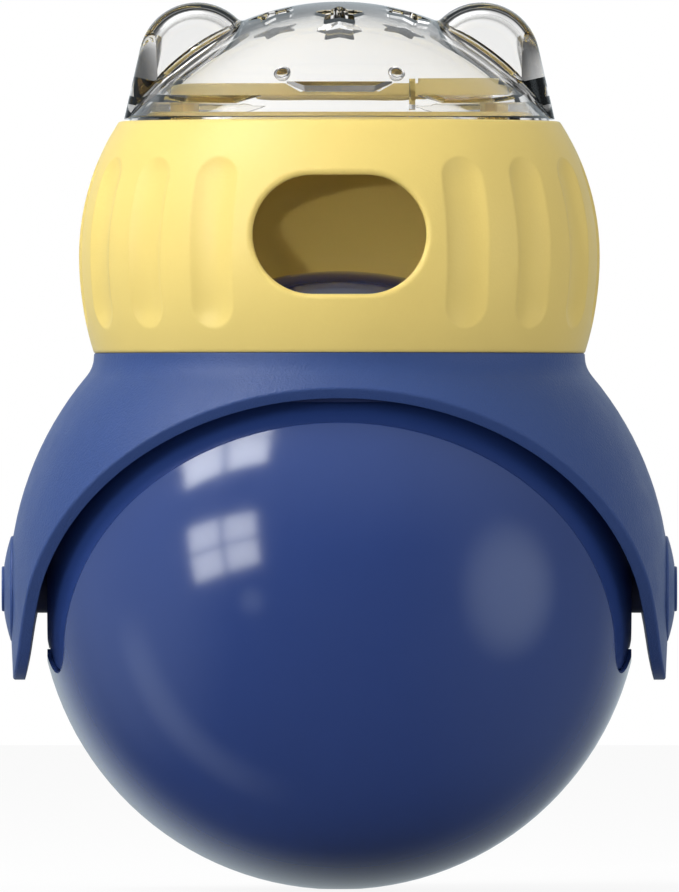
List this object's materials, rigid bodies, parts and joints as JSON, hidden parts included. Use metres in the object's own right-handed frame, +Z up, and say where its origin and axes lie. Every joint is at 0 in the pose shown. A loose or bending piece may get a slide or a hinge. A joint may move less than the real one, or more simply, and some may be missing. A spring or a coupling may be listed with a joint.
{
  "type": "puzzle feeder",
  "caption": "Tumbler treat feeder: a weighted ball carries a tilting yoke with a windowed barrel and a clear domed lid with ears and star holes.",
  "frame": {"origin": "bottom of the ball, on the floor, under the ball's centre", "axes": "+Z up, +X along the pivot to the right seen from the front, -Y towards the front (the window)"},
  "size_m": [0.0898, 0.08, 0.118],
  "materials": {
    "ball_gloss": "polished navy ABS",
    "ball_satin": "satin navy ABS",
    "hood_matte": "fine spark-eroded texture",
    "deck_gloss": "polished",
    "barrel_yellow": "satin",
    "clear_plastic": "clear polished polycarbonate",
    "inner_plastic": "plain moulded",
    "washer_rubber": "matt",
    "steel": "zinc plated",
    "ballast_steel": "turned"
  },
  "bodies": {
    "ball": {"ball_bowl": "ball_gloss", "ball_cap": "ball_satin", "ball_screws": "steel", "ballast": "ballast_steel", "ballast_retainer": "inner_plastic", "ballast_screw": "steel", "friction_washer_left": "washer_rubber", "friction_washer_right": "washer_rubber"},
    "head": {"hood": "hood_matte", "treat_deck": "deck_gloss", "deck_screws": "steel", "barrel": "barrel_yellow", "pivot_axle_left": "inner_plastic", "pivot_axle_right": "inner_plastic", "stop_washer_left": "steel", "stop_washer_right": "steel", "axle_screw_left": "steel", "axle_screw_right": "steel", "pivot_cap_left": "hood_matte", "pivot_cap_right": "hood_matte"},
    "lid": {"lid": "clear_plastic"}
  },
  "joints": [
    {"name": "head_tilt", "type": "hinge", "parent": "ball", "child": "head", "pos_m": [0, 0, 0.03989], "axis": [1, 0, 0], "range_deg": [-40, 40]},
    {"name": "lid_lift", "type": "slide", "parent": "head", "child": "lid", "axis": [0, 0, 1], "range_m": [0, 0.03]}
  ]
}
